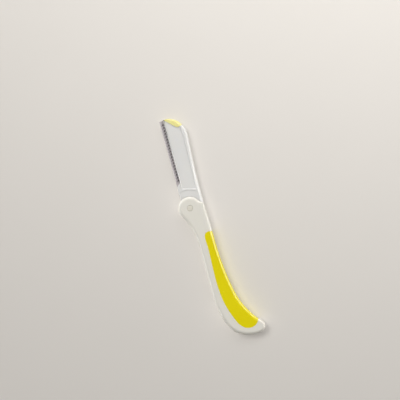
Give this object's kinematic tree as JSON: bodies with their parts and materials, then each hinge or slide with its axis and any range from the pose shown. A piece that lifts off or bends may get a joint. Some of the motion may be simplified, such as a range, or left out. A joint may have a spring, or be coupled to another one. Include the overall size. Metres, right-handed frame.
{
  "type": "folding eyebrow razor",
  "caption": "Folding eyebrow razor: curved handle with a soft grip inlay, and a guarded steel blade head that folds into the handle's side slot.",
  "frame": {"origin": "under the middle of the open razor's bounding box, on the surface that it lies on", "axes": "+X from the tail to the tip of the blade head, +Y towards the cutting edge, +Z from the rear face to the front face"},
  "size_m": [0.1214, 0.0292, 0.0064],
  "materials": {
    "white_handle": "moulded, glossy",
    "white_head": "moulded, polished flat panel",
    "yellow_grip": "soft overmould, satin",
    "yellow_tip": "moulded, glossy",
    "blade_steel": "ground",
    "guard_steel": "stamped foil"
  },
  "bodies": {
    "handle": {"handle_front_shell": "white_handle", "handle_rear_shell": "white_handle", "grip_inlay": "yellow_grip"},
    "head": {"head_front_shell": "white_head", "head_rear_shell": "white_head", "blade": "blade_steel", "blade_guard": "guard_steel", "tip_inlay": "yellow_tip"}
  },
  "joints": [
    {"name": "head_fold", "type": "hinge", "parent": "handle", "child": "head", "pos_m": [0.01195, 0.00843, 0.0032], "axis": [0, 0, 1], "range_deg": [0, 180]}
  ]
}
